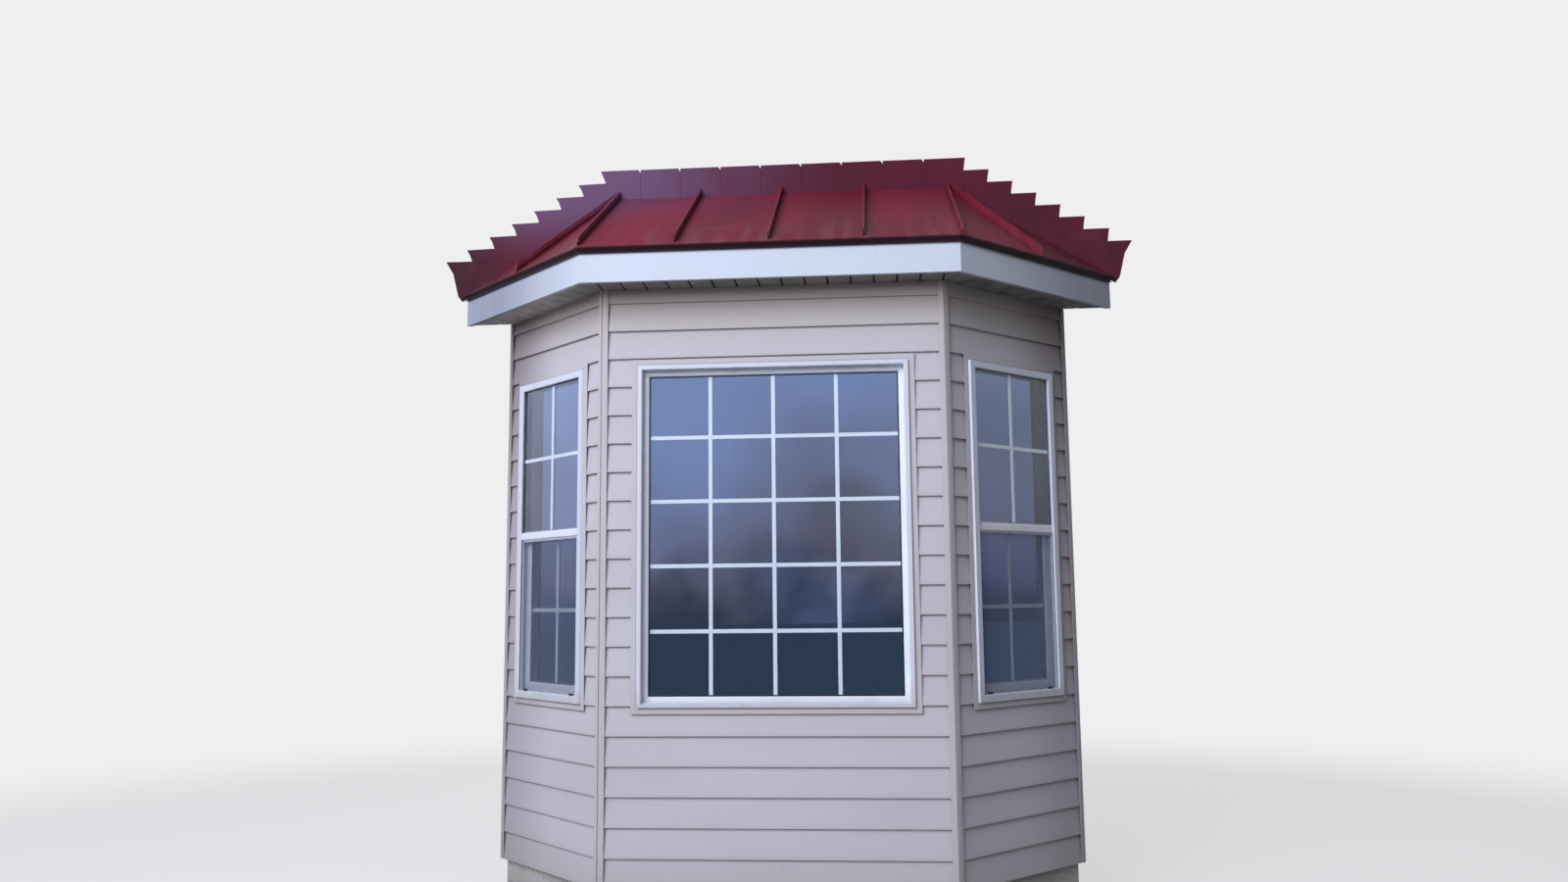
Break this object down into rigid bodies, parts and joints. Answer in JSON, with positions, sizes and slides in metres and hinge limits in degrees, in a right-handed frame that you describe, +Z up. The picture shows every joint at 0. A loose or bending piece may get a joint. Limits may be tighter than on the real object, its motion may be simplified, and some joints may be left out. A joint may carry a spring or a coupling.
{
  "type": "canted bay window",
  "caption": "Three-sided bay with a fixed front window and angled hung windows, lap siding and a hipped standing-seam roof, open to the room behind.",
  "frame": {"origin": "on the ground in the middle of the bay's plan: centre of the bounding box's underside", "axes": "+X along the house wall, to the right seen from the street, +Y into the house, +Z up"},
  "size_m": [3.438, 0.7926, 3.636],
  "materials": {
    "concrete": "rough poured",
    "lumber": "sawn",
    "plywood": "sanded",
    "wall_board": "matt painted",
    "vinyl_siding": "low gloss, wood grain",
    "vinyl_window": "satin white",
    "glass": "clear",
    "screen": "white enamel",
    "sill_board": "semi-gloss white paint",
    "vinyl_soffit": "matt",
    "fascia_wrap": "smooth white coil",
    "roof_metal": "satin dark red"
  },
  "bodies": {
    "root": {"ceiling_board": "wall_board", "ceiling_joists": "lumber", "corner_post_left": "vinyl_siding", "corner_post_right": "vinyl_siding", "flashing_left": "roof_metal", "flashing_right": "roof_metal", "flashing_top": "roof_metal", "floor_deck": "plywood", "floor_joists": "lumber", "foundation": "concrete", "front_channels": "vinyl_siding", "front_fascia": "fascia_wrap", "front_glass": "glass", "front_roof_pan_1": "roof_metal", "front_roof_pan_2": "roof_metal", "front_roof_pan_3": "roof_metal", "front_roof_pan_4": "roof_metal", "front_sash": "vinyl_window", "front_siding": "vinyl_siding", "front_wall": "wall_board", "front_window_frame": "vinyl_window", "left_channels": "vinyl_siding", "left_fascia": "fascia_wrap", "left_glass": "glass", "left_lower_sash": "vinyl_window", "left_roof_pans": "roof_metal", "left_screen": "screen", "left_siding": "vinyl_siding", "left_upper_sash": "vinyl_window", "left_wall": "wall_board", "left_window_frame": "vinyl_window", "right_channels": "vinyl_siding", "right_fascia": "fascia_wrap", "right_glass": "glass", "right_lower_sash": "vinyl_window", "right_roof_pans": "roof_metal", "right_screen": "screen", "right_siding": "vinyl_siding", "right_upper_sash": "vinyl_window", "right_wall": "wall_board", "right_window_frame": "vinyl_window", "roof_deck": "plywood", "roof_framing": "lumber", "soffit": "vinyl_soffit", "window_stools": "sill_board"}
  },
  "joints": []
}
